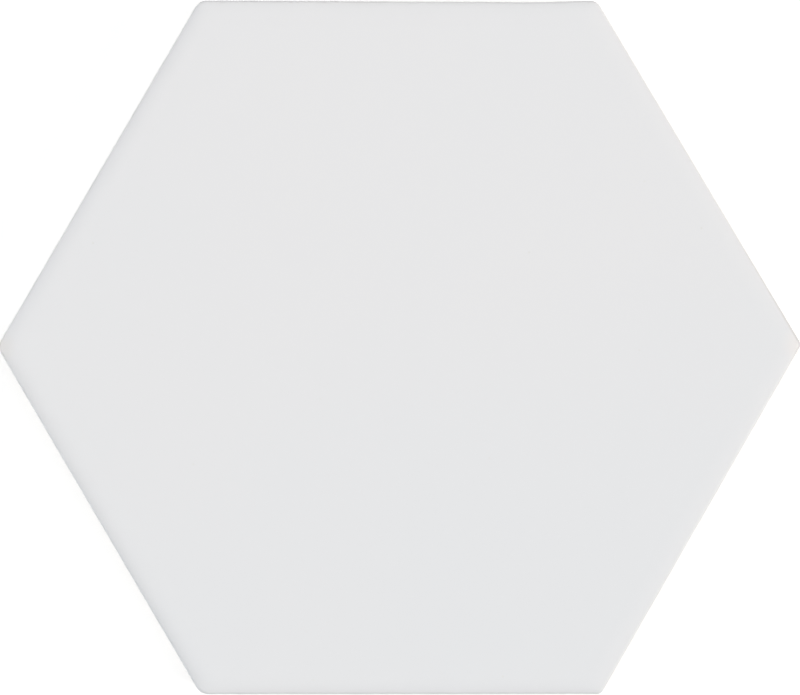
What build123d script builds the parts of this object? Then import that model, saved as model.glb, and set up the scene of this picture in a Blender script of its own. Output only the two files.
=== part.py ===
from build123d import *
import math
import os

# Plain hexagonal tile, dry-pressed, glazed on its face and fired as one piece.
# It lies on its back. Points lie along X, flats face +Y and -Y, and +Z is the glazed face.
# Origin: centre of the hexagon, on the plane of the back's ribs. Millimetres.

# Outline
across_flats = 101.0
thickness = 9.0
corner_radius = 2.0

# Section at the edge, from the face down to the back
shoulder_width = 3.5
shoulder_drop = 0.40
rim_radius = 0.60
straight_band = 2.4
side_draft = 2.0
back_bevel = 0.6

# Keyed back: shallow hexagonal cells in rings about the middle one, ribs between them and a land all round
cell_rings = 3
land_width = 5.0
rib_width = 2.4
cell_depth = 0.7
cell_draft = 22.0
cell_corner = 1.2


def honeycomb(ring_count, spacing):
    # Centres of the cells in whole rings about the middle, in step with the tile's own outline
    centres = []
    for column in range(-ring_count, ring_count + 1):
        for row in range(-ring_count, ring_count + 1):
            if abs(column + row) <= ring_count:
                x = spacing * (column + row / 2)
                y = spacing * row * math.sqrt(3) / 2
                centres.append((x, y))
    return centres


os.makedirs("parts", exist_ok=True)

shoulder_foot = thickness - shoulder_drop
band_foot = shoulder_foot - straight_band

# The cells are as wide as lets whole rings of them reach the land
room = across_flats / 2 - land_width
pitch = (room + rib_width / math.sqrt(3)) / (cell_rings * math.sqrt(3) / 2 + 1 / math.sqrt(3))
cell_flats = pitch - rib_width

# One bedding cell, as its stud in the die: sloping walls and rounded corners
with BuildPart() as cell:
    with BuildSketch(Plane.XY):
        RegularPolygon(cell_flats / 2, 6, major_radius=False, rotation=30)
    extrude(amount=cell_depth, taper=cell_draft)
    fillet(cell.edges().group_by(Axis.Z)[1], radius=cell_corner)

with BuildPart() as hexagon_tile:
    # Upper side band, upright where the glaze runs over it
    with BuildSketch(Plane.XY.offset(band_foot)) as outline:
        RegularPolygon(across_flats / 2, 6, major_radius=False)
        fillet(outline.vertices(), radius=corner_radius)
    extrude(amount=straight_band)

    # Lower side, drafted so that the tile leaves the die
    with BuildSketch(Plane.XY.offset(band_foot)):
        add(outline.sketch)
    extrude(amount=-band_foot, taper=side_draft)

    # Soft shoulder: the face falls away along a cubic that starts level, so nothing marks its start
    for step in range(4):
        share = step / 3
        with BuildSketch(Plane.XY.offset(thickness - shoulder_drop * (1 - share) ** 3)) as contour:
            RegularPolygon(across_flats / 2 - shoulder_width * share, 6, major_radius=False)
            fillet(contour.vertices(), radius=corner_radius)
    loft()

    # Rounded rim between shoulder and side
    rim = hexagon_tile.edges().filter_by_position(Axis.Z, shoulder_foot - 0.01, shoulder_foot + 0.01)
    fillet(rim, radius=rim_radius)

    # Bevel around the back
    chamfer(hexagon_tile.faces().sort_by(Axis.Z)[0].edges(), length=back_bevel)

    # Bedding cells
    with Locations(*honeycomb(cell_rings, pitch)):
        add(cell.part, mode=Mode.SUBTRACT)

hexagon_tile.part.label = "hexagon_tile"
export_step(hexagon_tile.part, "parts/hexagon_tile.step")
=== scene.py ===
import math
from functools import partial

import bmesh
import bpy
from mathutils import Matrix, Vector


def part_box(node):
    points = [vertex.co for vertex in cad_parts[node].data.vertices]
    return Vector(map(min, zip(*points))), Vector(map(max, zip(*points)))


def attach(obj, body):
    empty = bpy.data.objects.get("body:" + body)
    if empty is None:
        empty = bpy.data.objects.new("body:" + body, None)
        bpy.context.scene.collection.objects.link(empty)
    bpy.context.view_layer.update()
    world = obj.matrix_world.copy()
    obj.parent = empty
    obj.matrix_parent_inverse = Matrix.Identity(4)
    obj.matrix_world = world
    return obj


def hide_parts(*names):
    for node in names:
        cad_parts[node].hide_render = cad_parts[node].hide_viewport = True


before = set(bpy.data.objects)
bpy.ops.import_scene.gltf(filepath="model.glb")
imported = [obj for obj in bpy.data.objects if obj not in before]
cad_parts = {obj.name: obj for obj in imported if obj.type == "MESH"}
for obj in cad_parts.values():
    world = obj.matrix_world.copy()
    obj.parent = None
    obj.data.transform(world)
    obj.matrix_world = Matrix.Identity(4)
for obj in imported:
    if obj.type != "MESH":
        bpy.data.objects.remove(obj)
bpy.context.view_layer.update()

# A hexagonal tile seen from straight above: one dry-pressed piece with a satin white glaze on its face.
# Its outline, eased edge, glazed sides and keyed back come from one node tree
# and from the values in `tile` and `back`.

mm = 0.001
weld = 0.001                  # points nearer than this, in millimetres, become one
nodeLow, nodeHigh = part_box("hexagon_tile")
acrossFlats = (nodeHigh[1] - nodeLow[1]) / mm
thickness = (nodeHigh[2] - nodeLow[2]) / mm
print("frame loaded:", round(acrossFlats, 2), "mm across flats,", round(thickness, 2), "mm thick")


def linearColour(hexValue):
    parts = [int(hexValue[i:i + 2], 16) / 255 for i in (1, 3, 5)]
    return (*[p / 12.92 if p <= 0.04045 else ((p + 0.055) / 1.055) ** 2.4 for p in parts], 1.0)


def addNode(tree, kind, inputs=None, **settings):
    node = tree.nodes.new(kind)
    for name, value in settings.items():
        setattr(node, name, value)
    for key, value in (inputs or {}).items():
        for item in value if isinstance(value, list) else [value]:
            if isinstance(item, bpy.types.NodeSocket):
                tree.links.new(item, node.inputs[key])
            else:
                node.inputs[key].default_value = item
    return node


# Tile, in millimetres
tile = {
    # each corner: where its two sides would meet, and the radius it is rounded to
    "corners": [
        (58.56, 0.38, 1.0),
        (28.80, 50.36, 1.6),
        (-29.08, 50.38, 1.8),
        (-58.42, 0.05, 2.0),
        (-28.88, -50.49, 2.1),
        (29.44, -50.44, 1.0),
    ],
    "cornerSteps": 12,        # points on each rounded corner, less one
    "sideCuts": 84,           # points set along each straight side
    "edgeWave": 0.05,         # how far the fired edge wanders from straight
    "edgeWaveLength": 17.0,
    # shallow dip in the edge that faces +Y: where along X it begins, is deepest and ends
    "dipFrom": -22.0,
    "dipAt": 18.0,
    "dipTo": 29.0,
    "dipDepth": 0.20,
    "dipSide": 0.97,          # beyond this share of the half width a point is on that edge
    # from the middle of the face towards its edge, as shares of the half width
    "faceRings": (0.0, 0.1, 0.25, 0.45, 0.65, 0.82),
    "shoulderWidth": 4.0,     # the face falls away towards its edge, ever more steeply
    "shoulderDrop": 0.46,
    "shoulderPower": 4,
    "shoulderRings": 22,
    "rimRadius": 0.60,
    "rimRings": 12,
    "glazeFoot": 6.0,         # height on the side at which the glaze ends
    "glazeFootWander": 1.5,
    "glazeFootWave": 13.3,
    "glazeFootSoft": 0.16,    # it thins out from this far above its foot to as far below
    "glazeThickness": 0.14,
    # the bead at its end is full up to the first of these heights above the foot, and gone by the second
    "beadFrom": 0.2,
    "beadTo": 1.3,
    "beadShare": 0.35,        # of the glaze's thickness
    "closeRows": 0.75,        # share of the wander, up and down, that is covered by close rows
    "sideRows": (5, 24, 10),  # rows of the side: above the close ones, the close ones, and below them
    "draftInset": 0.20,       # how far the side has drawn in at the back
    "backBevel": 0.6,
    "bevelRings": 8,
    "landSeam": 0.3,          # strip of the land that is made with the side
    "seed": 7.0,
}

# Keyed back, in millimetres
back = {
    "cellRings": 3,
    "landWidth": 5.0,
    "ribWidth": 2.4,
    "cellDepth": 0.7,
    "cellDraft": 22.0,        # degrees
    "cellCorner": 1.2,
    "mouthRadius": 0.25,
    "floorRadius": 0.30,
    "arcRings": 3,
    "cornerSteps": 6,
    "lip": 0.4,               # flat ring of rib that is made with each cell
}


def edgeSection():
    # From the middle of the face over shoulder and rim, then down the side to the back: inset and height
    width, drop, power = tile["shoulderWidth"], tile["shoulderDrop"], tile["shoulderPower"]
    radius, bevel, drawnIn = tile["rimRadius"], tile["backBevel"], tile["draftInset"]
    meet = radius                 # the inset at which the shoulder turns into the rim
    rounds = 20                   # enough for it to settle
    for i in range(rounds):
        tilt = math.atan(power * drop / width * (1 - meet / width) ** (power - 1))
        meet = radius * (1 - math.sin(tilt))
    rimCentre = thickness - drop * (1 - meet / width) ** power - radius * math.cos(tilt)

    points = [(acrossFlats / 2 * (1 - share), thickness) for share in tile["faceRings"]]
    for i in range(tile["shoulderRings"]):
        inset = width + (meet - width) * i / tile["shoulderRings"]
        points.append((inset, thickness - drop * (1 - inset / width) ** power))
    for i in range(tile["rimRings"] + 1):
        turn = tilt + (math.pi / 2 - tilt) * i / tile["rimRings"]
        points.append((radius * (1 - math.sin(turn)), rimCentre + radius * math.cos(turn)))

    closeTop = tile["glazeFoot"] + tile["glazeFootWander"] * tile["closeRows"]
    closeLow = tile["glazeFoot"] - tile["glazeFootWander"] * tile["closeRows"]
    stretches = zip((rimCentre, closeTop, closeLow), (closeTop, closeLow, bevel), tile["sideRows"])
    heights = [top - (top - low) * i / rows for top, low, rows in stretches for i in range(rows)]
    for z in heights[1:]:
        points.append((drawnIn * max(0.0, 1 - z / tile["glazeFoot"]), z))
    for i in range(tile["bevelRings"] + 1):
        turn = math.pi / 2 * i / tile["bevelRings"]
        points.append((drawnIn + bevel * (1 - math.cos(turn)), bevel * (1 - math.sin(turn))))
    points.append((drawnIn + bevel + tile["landSeam"], 0.0))
    return points


def cellSection(cellFlats):
    # From the rib over the mouth, down the sloping wall and across the floor of one cell
    depth, lip, rings = back["cellDepth"], back["lip"], back["arcRings"]
    mouth, floor = back["mouthRadius"], back["floorRadius"]
    slope = math.radians(back["cellDraft"])
    wallTurn = math.pi / 2 - slope
    start = lip - mouth * math.tan(wallTurn / 2)
    end = lip + depth * math.tan(slope) + floor * math.tan(wallTurn / 2)
    points = [(0.0, 0.0)]
    for i in range(rings + 1):
        turn = wallTurn * i / rings
        points.append((start + mouth * math.sin(turn), mouth * (1 - math.cos(turn))))
    for i in range(rings + 1):
        turn = wallTurn * (1 - i / rings)
        points.append((end - floor * math.sin(turn), depth - floor * (1 - math.cos(turn))))
    points.append((cellFlats / 2 + lip, depth))
    return points


def lineObject(name, points):
    mesh = bpy.data.meshes.new(name)
    links = [(i, i + 1) for i in range(len(points) - 1)]
    mesh.from_pydata([(x * mm, 0, z * mm) for x, z in points], links, [])
    line = bpy.data.objects.new(name, mesh)
    bpy.context.scene.collection.objects.link(line)
    return line


def sectionRoundOutline():
    # Carries a section round an outline: each of its points draws the outline smaller by its own inset
    tree = bpy.data.node_groups.new("sectionRoundOutline", "GeometryNodeTree")
    for name, kind in (("Outline", "Geometry"), ("Section", "Geometry"), ("Half Width", "Float")):
        tree.interface.new_socket(name, in_out="INPUT", socket_type="NodeSocket" + kind)
    tree.interface.new_socket("Mesh", in_out="OUTPUT", socket_type="NodeSocketGeometry")
    add = partial(addNode, tree)
    given = add("NodeGroupInput").outputs
    index = add("GeometryNodeInputIndex").outputs[0]
    place = add("GeometryNodeInputPosition").outputs[0]

    around = add("GeometryNodeAttributeDomainSize", {0: given["Outline"]}, component="CURVE")
    around = around.outputs["Point Count"]
    down = add("GeometryNodeAttributeDomainSize", {0: given["Section"]}, component="MESH")
    down = down.outputs["Point Count"]
    columns = add("FunctionNodeIntegerMath", {0: around, 1: 1}, operation="ADD").outputs[0]
    grid = add("GeometryNodeMeshGrid", {"Vertices X": columns, "Vertices Y": down}).outputs["Mesh"]
    column = add("FunctionNodeIntegerMath", {0: index, 1: down}, operation="DIVIDE_FLOOR").outputs[0]
    column = add("FunctionNodeIntegerMath", {0: column, 1: around}, operation="MODULO").outputs[0]
    row = add("FunctionNodeIntegerMath", {0: index, 1: down}, operation="MODULO").outputs[0]
    onOutline = add("GeometryNodeSampleIndex",
                    {"Geometry": given["Outline"], "Value": place, "Index": column},
                    data_type="FLOAT_VECTOR").outputs[0]
    onSection = add("GeometryNodeSampleIndex",
                    {"Geometry": given["Section"], "Value": place, "Index": row},
                    data_type="FLOAT_VECTOR").outputs[0]

    section = add("ShaderNodeSeparateXYZ", {0: onSection}).outputs
    share = add("ShaderNodeMath", {0: section["X"], 1: given["Half Width"]}, operation="DIVIDE").outputs[0]
    size = add("ShaderNodeMath", {0: 1.0, 1: share}, operation="SUBTRACT").outputs[0]
    smaller = add("ShaderNodeVectorMath", {0: onOutline, "Scale": size}, operation="SCALE").outputs[0]
    height = add("ShaderNodeCombineXYZ", {"Z": section["Z"]}).outputs[0]
    target = add("ShaderNodeVectorMath", {0: smaller, 1: height}, operation="ADD").outputs[0]
    moved = add("GeometryNodeSetPosition", {"Geometry": grid, "Position": target}).outputs[0]
    closed = add("GeometryNodeMergeByDistance", {"Geometry": moved, "Distance": weld * mm}).outputs[0]
    add("NodeGroupOutput", {0: closed})
    return tree


def firedOutline(tree, given):
    # The six corners rounded, each side divided, then the fired edge's wander and its one dip
    add = partial(addNode, tree)
    index = add("GeometryNodeInputIndex").outputs[0]
    place = add("GeometryNodeInputPosition").outputs[0]
    loop = add("GeometryNodeMeshToCurve", {0: given["Geometry"]}).outputs[0]
    radius = add("GeometryNodeInputNamedAttribute", {"Name": "cornerRadius"}, data_type="FLOAT").outputs[0]
    rounded = add("GeometryNodeFilletCurve",
                  {"Curve": loop, "Count": given["Corner Steps"], "Radius": radius}, mode="POLY").outputs[0]

    perCorner = add("FunctionNodeIntegerMath", {0: given["Corner Steps"], 1: 1}, operation="ADD").outputs[0]
    inCorner = add("FunctionNodeIntegerMath", {0: index, 1: perCorner}, operation="MODULO").outputs[0]
    cornerEnd = add("FunctionNodeCompare", {2: inCorner, 3: given["Corner Steps"]},
                    data_type="INT", operation="EQUAL").outputs[0]
    cuts = add("GeometryNodeSwitch", {"Switch": cornerEnd, "False": 0, "True": given["Side Cuts"]},
               input_type="INT").outputs[0]
    divided = add("GeometryNodeSubdivideCurve", {"Curve": rounded, "Cuts": cuts}).outputs[0]

    frequency = add("ShaderNodeMath", {0: 1.0, 1: given["Edge Wave Length"]}, operation="DIVIDE").outputs[0]
    noise = add("ShaderNodeTexNoise",
                {"Vector": place, "W": given["Seed"], "Scale": frequency, "Detail": 2.0},
                noise_dimensions="4D").outputs["Color"]
    wander = add("ShaderNodeVectorMath", {0: noise, 1: (0.5, 0.5, 0.5)}, operation="SUBTRACT").outputs[0]
    wander = add("ShaderNodeVectorMath", {0: wander, 1: (2, 2, 0)}, operation="MULTIPLY").outputs[0]
    wander = add("ShaderNodeVectorMath", {0: wander, "Scale": given["Edge Wave"]},
                 operation="SCALE").outputs[0]

    spot = add("ShaderNodeSeparateXYZ", {0: place}).outputs
    sinks = add("ShaderNodeMapRange",
                {"Value": spot["X"], "From Min": given["Dip From"], "From Max": given["Dip At"]}).outputs[0]
    rises = add("ShaderNodeMapRange",
                {"Value": spot["X"], "From Min": given["Dip To"], "From Max": given["Dip At"]},
                interpolation_type="SMOOTHSTEP").outputs[0]
    beyond = add("ShaderNodeMath", {0: given["Half Width"], 1: tile["dipSide"]},
                 operation="MULTIPLY").outputs[0]
    onSide = add("ShaderNodeMath", {0: spot["Y"], 1: beyond}, operation="GREATER_THAN").outputs[0]
    dip = sinks
    for share in (rises, onSide, given["Dip Depth"]):
        dip = add("ShaderNodeMath", {0: dip, 1: share}, operation="MULTIPLY").outputs[0]
    dip = add("ShaderNodeCombineXYZ", {"Y": dip}).outputs[0]
    shift = add("ShaderNodeVectorMath", {0: wander, 1: dip}, operation="SUBTRACT").outputs[0]
    return add("GeometryNodeSetPosition", {"Geometry": divided, "Offset": shift}).outputs[0]


def keyedBack(tree, given, outline, wrap):
    # Cells on a hexagonal lattice cut to whole rings, and the ribs and land between them as one filled face
    add = partial(addNode, tree)
    index = add("GeometryNodeInputIndex").outputs[0]
    place = add("GeometryNodeInputPosition").outputs[0]
    rings = given["Cell Rings"]
    span = add("FunctionNodeIntegerMath", {0: rings, 1: 2, 2: 1}, operation="MULTIPLY_ADD").outputs[0]
    lattice = add("GeometryNodeMeshGrid", {"Vertices X": span, "Vertices Y": span}).outputs["Mesh"]
    column = add("FunctionNodeIntegerMath", {0: index, 1: span}, operation="DIVIDE_FLOOR").outputs[0]
    column = add("FunctionNodeIntegerMath", {0: column, 1: rings}, operation="SUBTRACT").outputs[0]
    row = add("FunctionNodeIntegerMath", {0: index, 1: span}, operation="MODULO").outputs[0]
    row = add("FunctionNodeIntegerMath", {0: row, 1: rings}, operation="SUBTRACT").outputs[0]
    ring = add("FunctionNodeIntegerMath", {0: column, 1: row}, operation="ADD").outputs[0]
    ring = add("FunctionNodeIntegerMath", {0: ring}, operation="ABSOLUTE").outputs[0]
    beyond = add("FunctionNodeCompare", {2: ring, 3: rings},
                 data_type="INT", operation="GREATER_THAN").outputs[0]
    x = add("ShaderNodeMath", {0: row, 1: 0.5, 2: column}, operation="MULTIPLY_ADD").outputs[0]
    y = add("ShaderNodeMath", {0: row, 1: math.sqrt(3) / 2}, operation="MULTIPLY").outputs[0]
    spot = add("ShaderNodeCombineXYZ", {"X": x, "Y": y}).outputs[0]
    spot = add("ShaderNodeVectorMath", {0: spot, "Scale": given["Cell Pitch"]}, operation="SCALE").outputs[0]
    spread = add("GeometryNodeSetPosition", {"Geometry": lattice, "Position": spot}).outputs[0]
    centres = add("GeometryNodeDeleteGeometry", {"Geometry": spread, "Selection": beyond}).outputs[0]

    radius = add("ShaderNodeMath", {0: given["Cell Half Width"], 1: 2 / math.sqrt(3)},
                 operation="MULTIPLY").outputs[0]
    mouth = add("GeometryNodeCurvePrimitiveCircle", {"Resolution": 6, "Radius": radius}).outputs[0]
    mouth = add("GeometryNodeTransform", {"Geometry": mouth, "Rotation": (0, 0, math.pi / 6)}).outputs[0]
    mouth = add("GeometryNodeFilletCurve",
                {"Curve": mouth, "Count": given["Cell Corner Steps"], "Radius": given["Cell Corner"]},
                mode="POLY").outputs[0]
    line = add("GeometryNodeObjectInfo", {"Object": given["Cell Section"]}).outputs["Geometry"]
    cell = add("GeometryNodeGroup",
               {"Outline": mouth, "Section": line, "Half Width": given["Cell Half Width"]},
               node_tree=wrap).outputs[0]
    cells = add("GeometryNodeInstanceOnPoints", {"Points": centres, "Instance": cell}).outputs[0]
    mouths = add("GeometryNodeInstanceOnPoints", {"Points": centres, "Instance": mouth}).outputs[0]
    mouths = add("GeometryNodeRealizeInstances", {"Geometry": mouths}).outputs[0]

    share = add("ShaderNodeMath", {0: given["Back Inset"], 1: given["Half Width"]},
                operation="DIVIDE").outputs[0]
    size = add("ShaderNodeMath", {0: 1.0, 1: share}, operation="SUBTRACT").outputs[0]
    smaller = add("ShaderNodeVectorMath", {0: place, "Scale": size}, operation="SCALE").outputs[0]
    land = add("GeometryNodeSetPosition", {"Geometry": outline, "Position": smaller}).outputs[0]
    loops = add("GeometryNodeJoinGeometry", {0: [land, mouths]}).outputs[0]
    ribs = add("GeometryNodeFillCurve", {"Curve": loops}, mode="TRIANGLES").outputs[0]
    return cells, ribs


def layGlaze(tree, given, skin):
    # The glaze stands proud of the body down to a foot that wanders along the side, with a thin bead at
    # its end. The skin comes as the glaze's own surface, so it is the body that draws in.
    add = partial(addNode, tree)
    soft = tile["glazeFootSoft"] * mm
    place = add("GeometryNodeInputPosition").outputs[0]
    level = add("ShaderNodeVectorMath", {0: place, 1: (1, 1, 0)}, operation="MULTIPLY").outputs[0]
    frequency = add("ShaderNodeMath", {0: 1.0, 1: given["Glaze Foot Wave"]}, operation="DIVIDE").outputs[0]
    broad = add("ShaderNodeTexNoise", {"Vector": level, "W": given["Seed"], "Scale": frequency,
                                       "Detail": 4.0, "Roughness": 0.5}, noise_dimensions="4D").outputs[0]
    sag = add("ShaderNodeMath", {0: broad, 1: 0.5}, operation="SUBTRACT").outputs[0]
    foot = add("ShaderNodeMath", {0: sag, 1: given["Glaze Foot Wander"], 2: given["Glaze Foot"]},
               operation="MULTIPLY_ADD").outputs[0]
    height = add("ShaderNodeSeparateXYZ", {0: place}).outputs["Z"]
    above = add("ShaderNodeMath", {0: height, 1: foot}, operation="SUBTRACT").outputs[0]
    cover = add("ShaderNodeMapRange", {"Value": above, "From Min": -soft, "From Max": soft},
                interpolation_type="SMOOTHSTEP").outputs[0]
    bead = add("ShaderNodeMapRange", {"Value": above, "From Min": tile["beadFrom"] * mm,
                                      "From Max": tile["beadTo"] * mm, "To Min": 1.0, "To Max": 0.0},
               interpolation_type="SMOOTHSTEP").outputs[0]
    for share in (cover, tile["beadShare"]):
        bead = add("ShaderNodeMath", {0: bead, 1: share}, operation="MULTIPLY").outputs[0]
    marked = add("GeometryNodeStoreNamedAttribute", {"Geometry": skin, "Name": "glazeCover", "Value": cover},
                 data_type="FLOAT").outputs[0]
    kept = add("GeometryNodeInputNamedAttribute", {"Name": "glazeCover"}, data_type="FLOAT").outputs[0]
    proud = add("ShaderNodeMath", {0: kept, 1: bead}, operation="ADD").outputs[0]
    proud = add("ShaderNodeMath", {0: proud, 1: 1.0}, operation="SUBTRACT").outputs[0]
    coat = add("ShaderNodeMath", {0: given["Glaze Thickness"], 1: given["Half Width"]},
               operation="DIVIDE").outputs[0]
    coat = add("ShaderNodeMath", {0: proud, 1: coat}, operation="MULTIPLY").outputs[0]
    outward = add("ShaderNodeVectorMath", {0: level, "Scale": coat}, operation="SCALE").outputs[0]
    return add("GeometryNodeSetPosition", {"Geometry": marked, "Offset": outward}).outputs[0]


def pressedTile(values):
    # One tree for the whole tile, with a named input for each of the values
    tree = bpy.data.node_groups.new("pressedTile", "GeometryNodeTree")
    kinds = {bpy.types.Object: "Object", bpy.types.Material: "Material", int: "Int", float: "Float"}
    tree.interface.new_socket("Geometry", in_out="INPUT", socket_type="NodeSocketGeometry")
    for name, value in values.items():
        kind = next(kinds[base] for base in kinds if isinstance(value, base))
        tree.interface.new_socket(name, in_out="INPUT", socket_type="NodeSocket" + kind)
    tree.interface.new_socket("Geometry", in_out="OUTPUT", socket_type="NodeSocketGeometry")
    add = partial(addNode, tree)
    given = add("NodeGroupInput").outputs
    wrap = sectionRoundOutline()

    outline = firedOutline(tree, given)
    line = add("GeometryNodeObjectInfo", {"Object": given["Edge Section"]}).outputs["Geometry"]
    shell = add("GeometryNodeGroup",
                {"Outline": outline, "Section": line, "Half Width": given["Half Width"]},
                node_tree=wrap).outputs[0]
    glazed = layGlaze(tree, given, shell)
    cells, ribs = keyedBack(tree, given, outline, wrap)
    parts = add("GeometryNodeJoinGeometry", {0: [glazed, cells, ribs]}).outputs[0]
    skin = add("GeometryNodeRealizeInstances", {"Geometry": parts}).outputs[0]
    skin = add("GeometryNodeMergeByDistance", {"Geometry": skin, "Distance": weld * mm}).outputs[0]
    skin = add("GeometryNodeSetShadeSmooth", {"Geometry": skin}).outputs[0]
    skin = add("GeometryNodeRealizeInstances", {"Geometry": skin}).outputs[0]
    skin = add("GeometryNodeSetMaterial", {"Geometry": skin, "Material": given["Material"]}).outputs[0]
    add("NodeGroupOutput", {0: skin})
    return tree


def makeTile(material):
    half = acrossFlats / 2
    room = half - back["landWidth"]
    rib = back["ribWidth"]
    pitch = (room + rib / math.sqrt(3)) / (back["cellRings"] * math.sqrt(3) / 2 + 1 / math.sqrt(3))
    cellFlats = pitch - rib
    edge = edgeSection()
    landShare = (1 - edge[-1][0] / half) * (1 - tile["glazeThickness"] / half)
    edgeLine = lineObject("edgeSection", edge)
    cellLine = lineObject("cellSection", cellSection(cellFlats))

    mesh = bpy.data.meshes.new("hexagonTile")
    corners = [(x * mm, y * mm, 0) for x, y, radius in tile["corners"]]
    mesh.from_pydata(corners, [(i, (i + 1) % 6) for i in range(6)], [])
    radii = mesh.attributes.new("cornerRadius", "FLOAT", "POINT")
    radii.data.foreach_set("value", [radius * mm for x, y, radius in tile["corners"]])
    piece = bpy.data.objects.new("hexagonTile", mesh)
    bpy.context.scene.collection.objects.link(piece)

    values = {
        "Edge Section": edgeLine,
        "Cell Section": cellLine,
        "Material": material,
        "Corner Steps": tile["cornerSteps"],
        "Side Cuts": tile["sideCuts"],
        "Cell Rings": back["cellRings"],
        "Cell Corner Steps": back["cornerSteps"],
        "Half Width": half * mm,
        "Edge Wave": tile["edgeWave"] * mm,
        "Edge Wave Length": tile["edgeWaveLength"] * mm,
        "Dip From": tile["dipFrom"] * mm,
        "Dip At": tile["dipAt"] * mm,
        "Dip To": tile["dipTo"] * mm,
        "Dip Depth": tile["dipDepth"] * mm,
        "Glaze Foot": tile["glazeFoot"] * mm,
        "Glaze Foot Wander": tile["glazeFootWander"] * 2 * mm,
        "Glaze Foot Wave": tile["glazeFootWave"] * mm,
        "Glaze Thickness": tile["glazeThickness"] * mm,
        "Back Inset": half * (1 - landShare) * mm,
        "Cell Pitch": pitch * mm,
        "Cell Half Width": (cellFlats / 2 + back["lip"]) * mm,
        "Cell Corner": (back["cellCorner"] + back["lip"]) * mm,
        "Seed": tile["seed"],
    }
    modifier = piece.modifiers.new("pressedTile", "NODES")
    modifier.node_group = pressedTile(values)
    for item in modifier.node_group.interface.items_tree:
        if item.in_out == "INPUT" and item.name in values:
            modifier[item.identifier] = values[item.name]
    bpy.context.view_layer.update()
    graph = bpy.context.evaluated_depsgraph_get()
    made = bpy.data.meshes.new_from_object(piece.evaluated_get(graph), preserve_all_data_layers=True,
                                           depsgraph=graph)
    made.name = "hexagonTile"
    piece.modifiers.clear()
    piece.data = made
    for line in (edgeLine, cellLine):
        bpy.data.objects.remove(line)

    skin = bmesh.new()
    skin.from_mesh(made)
    bmesh.ops.recalc_face_normals(skin, faces=skin.faces)
    skin.to_mesh(made)
    triangles = sum(len(face.verts) - 2 for face in skin.faces)
    openEdges = sum(1 for edge in skin.edges if len(edge.link_faces) != 2)
    print("tile:", len(skin.verts), "points,", triangles, "triangles,", openEdges, "open edges,",
          round(skin.calc_volume() / mm ** 3), "cubic mm")
    skin.free()
    return piece


# Glaze and body: colours, and sizes in millimetres
glaze = {
    "colour": "#E7E7E8",
    "coolColour": "#E4E6E8",  # a shade cooler towards -Y: painted light, the cooler tint the light gives that part of the face
    "coolFrom": 30.0,         # the change begins and ends at these places along Y
    "coolTo": -45.0,
    "cloudSize": 45.0,        # clouds that break the change up
    "cloudShare": 0.4,
    "cloudRange": (0.3, 0.7),
    "speckSpacing": 22.0,
    "speckRadius": 0.22,
    "speckCore": 0.3,         # share of that radius over which it is full
    "speckColour": "#E1E1DF",
    "peelSize": 1.2,          # the faint orange peel of a sprayed glaze
    "peelDepth": 0.004,
    "waveSize": 9.0,          # and the long swell under it
    "waveDepth": 0.05,
    "roughness": 0.38,
    # on the tip at -X the glaze is thinner, and so warmer; on the tip at +X the lighter, warmer tone is a
    # painted highlight where the lamp on the right lights the rim
    "tips": [
        ((-58.4, 0.05), "#E5E4E2"),
        ((58.5, 0.4), "#EBE9E8"),
    ],
    "tipReach": 3.4,
    "tipFull": 0.6,
    # painted shade: a darker line on the rim on the +Y side of the +X tip, where less light reaches it, more
    # and more along X towards it and less and less along Y past it; the heights go from the top of that line
    # down to its foot
    "rimShadeFrom": (48.0, 58.0),
    "rimShadeEnd": (-3.0, 0.5),
    "rimShadeHeight": (8.70, 8.62, 8.42, 8.30),
    "rimShadeColour": "#D5D4D5",
    "footRagged": 0.5,        # how much the body's granules show in the line of its foot
    "footRange": (0.6, 0.9),
}
body = {
    "colour": "#E6E2DA",
    "darkColour": "#D3CEC5",
    "shadeRange": (0.34, 0.62),
    "grainSize": 0.5,         # pressed granules, still to be seen in the fired body
    "grainDepth": 0.035,
    "dragSize": 1.6,          # faint upright marks from the die wall
    "dragUpright": 0.15,      # how fast they change along Z, against 1 across
    "dragDepth": 0.015,
    "dragShare": 0.16,
    "poreSpacing": 2.6,
    "poreRadius": 0.16,
    "poreCore": 0.4,
    "poreDepth": 0.1,
    # the pores are real pits; their dark colour is painted shade inside them
    "poreShadeColour": "#B0A899",
    "roughness": 0.85,
    "washColour": "#F0EEE9",  # powdery kiln wash on what the tile stood on in the kiln
    "washHeight": 0.12,
    "washPatch": 5.6,
    "washRange": (0.40, 0.58),
    "washShare": 0.85,
}


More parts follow.
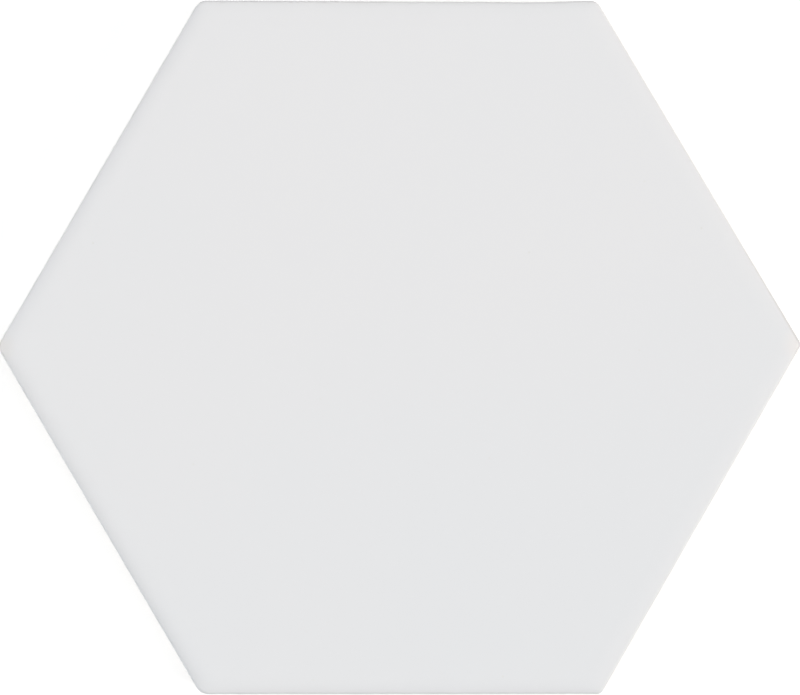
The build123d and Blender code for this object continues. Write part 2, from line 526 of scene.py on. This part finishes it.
def glazedPorcelain():
    # Opaque satin-matt glaze, sprayed and once fired on dry-pressed porcelain: an even cool white with a
    # soft sheen, and below the foot of the glaze a chalky cream body with granules, pores and die marks.
    material = bpy.data.materials.new("satinGlazeOnPorcelain")
    material.use_nodes = True
    tree = material.node_tree
    tree.nodes.clear()
    add = partial(addNode, tree)
    space = add("ShaderNodeTexCoord").outputs["Object"]
    spot = add("ShaderNodeSeparateXYZ", {0: space}).outputs

    # the white, with painted cooler light towards -Y
    cloud = add("ShaderNodeTexNoise",
                {"Vector": space, "Scale": 1 / (glaze["cloudSize"] * mm), "Detail": 3.0}).outputs[0]
    least, most = glaze["cloudRange"]
    cloud = add("ShaderNodeMapRange", {"Value": cloud, "From Min": least, "From Max": most}).outputs[0]
    # painted light: share of the cooler tint, growing towards -Y
    paintedCoolShare = add("ShaderNodeMapRange", {"Value": spot["Y"], "From Min": glaze["coolFrom"] * mm,
                                         "From Max": glaze["coolTo"] * mm}).outputs[0]
    tint = add("ShaderNodeMix", {0: glaze["cloudShare"], 2: paintedCoolShare, 3: cloud}, data_type="FLOAT").outputs[0]
    white = add("ShaderNodeMix",
                {0: tint, 6: linearColour(glaze["colour"]), 7: linearColour(glaze["coolColour"])},
                data_type="RGBA").outputs[2]

    # specks, warm tips with a painted highlight on the +X one, and a painted shade line on the rim
    speck = add("ShaderNodeTexVoronoi", {"Vector": space, "Scale": 1 / (glaze["speckSpacing"] * mm)},
                voronoi_dimensions="2D").outputs
    reach = glaze["speckRadius"] / glaze["speckSpacing"]
    speckMask = add("ShaderNodeMapRange",
                    {"Value": speck["Distance"], "From Min": reach * glaze["speckCore"], "From Max": reach,
                     "To Min": 1.0, "To Max": 0.0}, interpolation_type="SMOOTHSTEP").outputs[0]
    strength = add("ShaderNodeSeparateColor", {0: speck["Color"]}).outputs[0]
    speckMask = add("ShaderNodeMath", {0: speckMask, 1: strength}, operation="MULTIPLY").outputs[0]
    marks = [(speckMask, glaze["speckColour"])]
    # the -X tip takes the colour of thinner glaze, the +X tip a painted highlight
    for (tipX, tipY), tipColour in glaze["tips"]:
        toTip = add("ShaderNodeVectorMath", {0: space, 1: (tipX * mm, tipY * mm, thickness * mm)},
                    operation="DISTANCE").outputs["Value"]
        thinOrLitTip = add("ShaderNodeMapRange", {"Value": toTip, "From Min": glaze["tipReach"] * mm,
                                          "From Max": glaze["tipFull"] * mm},
                   interpolation_type="SMOOTHSTEP").outputs[0]
        marks.append((thinOrLitTip, tipColour))
    # painted shade: the darker rim line near the +X tip
    top, full, fullLow, bottom = glaze["rimShadeHeight"]
    rimShade = add("ShaderNodeMapRange", {"Value": spot["X"], "From Min": glaze["rimShadeFrom"][0] * mm,
                                      "From Max": glaze["rimShadeFrom"][1] * mm}).outputs[0]
    upTo = add("ShaderNodeMapRange", {"Value": spot["Y"], "From Min": glaze["rimShadeEnd"][0] * mm,
                                      "From Max": glaze["rimShadeEnd"][1] * mm}).outputs[0]
    below = add("ShaderNodeMapRange", {"Value": spot["Z"], "From Min": top * mm, "From Max": full * mm},
                interpolation_type="SMOOTHSTEP").outputs[0]
    above = add("ShaderNodeMapRange", {"Value": spot["Z"], "From Min": bottom * mm, "From Max": fullLow * mm},
                interpolation_type="SMOOTHSTEP").outputs[0]
    for share in (upTo, below, above):
        rimShade = add("ShaderNodeMath", {0: rimShade, 1: share}, operation="MULTIPLY").outputs[0]
    marks.append((rimShade, glaze["rimShadeColour"]))
    for share, colour in marks:
        white = add("ShaderNodeMix", {0: share, 6: white, 7: linearColour(colour)},
                    data_type="RGBA").outputs[2]

    # its orange peel and swell
    peel = add("ShaderNodeTexNoise",
               {"Vector": space, "Scale": 1 / (glaze["peelSize"] * mm), "Detail": 1.0}).outputs[0]
    peelHeight = add("ShaderNodeMath", {0: peel, 1: glaze["peelDepth"] * mm}, operation="MULTIPLY").outputs[0]
    swell = add("ShaderNodeTexNoise",
                {"Vector": space, "Scale": 1 / (glaze["waveSize"] * mm), "Detail": 1.0}).outputs[0]
    peelHeight = add("ShaderNodeMath", {0: swell, 1: glaze["waveDepth"] * mm, 2: peelHeight},
                     operation="MULTIPLY_ADD").outputs[0]

    # the body's granules, die marks and pores
    grain = add("ShaderNodeTexNoise", {"Vector": space, "Scale": 1 / (body["grainSize"] * mm),
                                       "Detail": 4.0, "Roughness": 0.6}).outputs[0]
    upright = add("ShaderNodeVectorMath", {0: space, 1: (1, 1, body["dragUpright"])},
                  operation="MULTIPLY").outputs[0]
    drag = add("ShaderNodeTexNoise",
               {"Vector": upright, "Scale": 1 / (body["dragSize"] * mm), "Detail": 3.0}).outputs[0]
    pore = add("ShaderNodeTexVoronoi", {"Vector": space, "Scale": 1 / (body["poreSpacing"] * mm)}).outputs
    reach = body["poreRadius"] / body["poreSpacing"]
    poreMask = add("ShaderNodeMapRange",
                   {"Value": pore["Distance"], "From Min": reach * body["poreCore"], "From Max": reach,
                    "To Min": 1.0, "To Max": 0.0}, interpolation_type="SMOOTHSTEP").outputs[0]
    shade = add("ShaderNodeMix", {0: body["dragShare"], 2: grain, 3: drag}, data_type="FLOAT").outputs[0]
    least, most = body["shadeRange"]
    shade = add("ShaderNodeMapRange", {"Value": shade, "From Min": least, "From Max": most}).outputs[0]
    cream = add("ShaderNodeMix",
                {0: shade, 6: linearColour(body["darkColour"]), 7: linearColour(body["colour"])},
                data_type="RGBA").outputs[2]

    # kiln wash on the ribs and the land of the back
    wash = add("ShaderNodeMapRange",
               {"Value": spot["Z"], "From Min": body["washHeight"] * mm, "From Max": 0.0},
               interpolation_type="SMOOTHSTEP").outputs[0]
    patchy = add("ShaderNodeTexNoise", {"Vector": space, "Scale": 1 / (body["washPatch"] * mm),
                                        "Detail": 6.0, "Roughness": 0.7}).outputs[0]
    least, most = body["washRange"]
    patchy = add("ShaderNodeMapRange", {"Value": patchy, "From Min": least, "From Max": most,
                                        "To Max": body["washShare"]}).outputs[0]
    wash = add("ShaderNodeMath", {0: wash, 1: patchy}, operation="MULTIPLY").outputs[0]
    # kiln wash is the body's own colour; the dark in the pores is painted shade
    for share, colour in ((wash, body["washColour"]), (poreMask, body["poreShadeColour"])):
        cream = add("ShaderNodeMix", {0: share, 6: cream, 7: linearColour(colour)},
                    data_type="RGBA").outputs[2]
    bodyHeight = add("ShaderNodeMath", {0: grain, 1: body["grainDepth"] * mm},
                     operation="MULTIPLY").outputs[0]
    for relief, depth in ((drag, body["dragDepth"]), (poreMask, -body["poreDepth"])):
        bodyHeight = add("ShaderNodeMath", {0: relief, 1: depth * mm, 2: bodyHeight},
                         operation="MULTIPLY_ADD").outputs[0]

    # glaze over body, down to its ragged foot
    cover = add("ShaderNodeAttribute", attribute_name="glazeCover").outputs["Fac"]
    ragged = add("ShaderNodeMath", {0: grain, 1: glaze["footRagged"], 2: cover},
                 operation="MULTIPLY_ADD").outputs[0]
    least, most = glaze["footRange"]
    mask = add("ShaderNodeMapRange", {"Value": ragged, "From Min": least, "From Max": most},
               interpolation_type="SMOOTHSTEP").outputs[0]
    colour = add("ShaderNodeMix", {0: mask, 6: cream, 7: white}, data_type="RGBA").outputs[2]
    rough = add("ShaderNodeMapRange",
                {"Value": mask, "To Min": body["roughness"], "To Max": glaze["roughness"]}).outputs[0]
    height = add("ShaderNodeMix", {0: mask, 2: bodyHeight, 3: peelHeight}, data_type="FLOAT").outputs[0]
    bump = add("ShaderNodeBump", {"Height": height, "Strength": 1.0, "Distance": 1.0}).outputs[0]
    surface = add("ShaderNodeBsdfPrincipled",
                  {"Base Color": colour, "Roughness": rough, "IOR": 1.5, "Normal": bump}).outputs[0]
    add("ShaderNodeOutputMaterial", {"Surface": surface})
    return material


hexagonTile = makeTile(glazedPorcelain())
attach(hexagonTile, "root")
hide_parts("hexagon_tile")

# Camera straight above, framed as the photo is
view = {
    "frameWidth": 800,
    "frameHeight": 695,
    "mmPerPixel": 0.14549,
    "centrePixel": (398.84, 347.01),   # where the middle of the tile falls in the frame
    "lens": 200.0,
    "sensor": 36.0,
    "outlineHeight": 8.0,              # the height on the side that shows as the outline
    "clip": (0.01, 20.0),              # metres
}
camera = bpy.data.cameras.new("camera")
camera.lens = view["lens"]
camera.sensor_width = view["sensor"]
camera.clip_start, camera.clip_end = view["clip"]
cameraObject = bpy.data.objects.new("camera", camera)
bpy.context.scene.collection.objects.link(cameraObject)
distance = view["frameWidth"] * view["mmPerPixel"] * view["lens"] / view["sensor"]
cameraObject.location = (
    (view["frameWidth"] / 2 - view["centrePixel"][0]) * view["mmPerPixel"] * mm,
    (view["centrePixel"][1] - view["frameHeight"] / 2) * view["mmPerPixel"] * mm,
    (distance + view["outlineHeight"]) * mm,
)
bpy.context.scene.camera = cameraObject
print("camera set")

# Studio, in metres: a large box overhead, a slightly warm one low on the right, a weaker one on the left
# and a pale room
studio = {
    "lamps": {
        "overhead": {"place": (0.0, 0.45, 3.0), "size": (2.6, 4.9), "power": 48.1, "colour": "#F9FEFF"},
        "fromRight": {"place": (3.61, -0.31, 1.69), "size": (2.0, 2.0), "power": 113.5, "colour": "#FFF7F2"},
        "fromLeft": {"place": (-3.26, 0.2, 2.29), "size": (2.0, 2.0), "power": 65.8, "colour": "#FFFDFF"},
    },
    "roomLight": 0.12,
    "roomColour": "#FFFFFF",
    "floorColour": "#F2F2F2",
    "floorGlow": 0.34,        # lifts the lit floor to white for the camera, so that only the shadow shows
    "floorSize": 12.0,
    "floorGap": 0.00002,      # keeps the floor clear of the back
    "whiteFrom": 0.16,        # the floor turns to plain white between these distances from the middle
    "whiteTo": 0.45,
}
for name, settings in studio["lamps"].items():
    lamp = bpy.data.lights.new(name, "AREA")
    lamp.shape = "RECTANGLE"
    lamp.size, lamp.size_y = settings["size"]
    lamp.energy = settings["power"]
    lamp.color = linearColour(settings["colour"])[:3]
    lampObject = bpy.data.objects.new(name, lamp)
    lampObject.location = settings["place"]
    if name != "overhead":
        lampObject.rotation_euler = lampObject.location.to_track_quat("Z", "Y").to_euler()
    lampObject.visible_camera = False
    bpy.context.scene.collection.objects.link(lampObject)


def seenRays(tree):
    # 1 where the camera sees a surface by itself, or in a gloss or through glass
    rays = addNode(tree, "ShaderNodeLightPath").outputs
    seen = rays["Is Camera Ray"]
    for other in ("Is Glossy Ray", "Is Transmission Ray"):
        seen = addNode(tree, "ShaderNodeMath", {0: seen, 1: rays[other]}, operation="MAXIMUM").outputs[0]
    return seen


world = bpy.data.worlds.new("paleRoom")
world.use_nodes = True
bpy.context.scene.world = world
tree = world.node_tree
tree.nodes.clear()
add = partial(addNode, tree)
room = add("ShaderNodeBackground",
           {"Color": linearColour(studio["roomColour"]), "Strength": studio["roomLight"]}).outputs[0]
white = add("ShaderNodeBackground", {"Color": (1, 1, 1, 1), "Strength": 1.0}).outputs[0]
sky = add("ShaderNodeMixShader", {0: seenRays(tree), 1: room, 2: white}).outputs[0]
add("ShaderNodeOutputWorld", {"Surface": sky})

paper = bpy.data.materials.new("whitePaperSweep")   # matt white paper, unmarked
paper.use_nodes = True
tree = paper.node_tree
tree.nodes.clear()
add = partial(addNode, tree)
seen = seenRays(tree)
lit = add("ShaderNodeBsdfDiffuse", {"Color": linearColour(studio["floorColour"])}).outputs[0]
glow = add("ShaderNodeMath", {0: seen, 1: studio["floorGlow"]}, operation="MULTIPLY").outputs[0]
glow = add("ShaderNodeEmission", {"Color": (1, 1, 1, 1), "Strength": glow}).outputs[0]
near = add("ShaderNodeAddShader", {0: lit, 1: glow}).outputs[0]
plain = add("ShaderNodeEmission", {"Color": (1, 1, 1, 1), "Strength": 1.0}).outputs[0]
space = add("ShaderNodeTexCoord").outputs["Object"]
away = add("ShaderNodeVectorMath", {0: space}, operation="LENGTH").outputs["Value"]
far = add("ShaderNodeMapRange",
          {"Value": away, "From Min": studio["whiteFrom"], "From Max": studio["whiteTo"]},
          interpolation_type="SMOOTHSTEP").outputs[0]
far = add("ShaderNodeMath", {0: far, 1: seen}, operation="MULTIPLY").outputs[0]
surface = add("ShaderNodeMixShader", {0: far, 1: near, 2: plain}).outputs[0]
add("ShaderNodeOutputMaterial", {"Surface": surface})

edge = studio["floorSize"] / 2
mesh = bpy.data.meshes.new("floor")
mesh.from_pydata([(-edge, -edge, 0), (edge, -edge, 0), (edge, edge, 0), (-edge, edge, 0)], [], [(0, 1, 2, 3)])
mesh.materials.append(paper)
floor = bpy.data.objects.new("floor", mesh)
floor.location = (0, 0, -studio["floorGap"])
bpy.context.scene.collection.objects.link(floor)
print("studio set")

bpy.context.scene.view_settings.view_transform = "Standard"
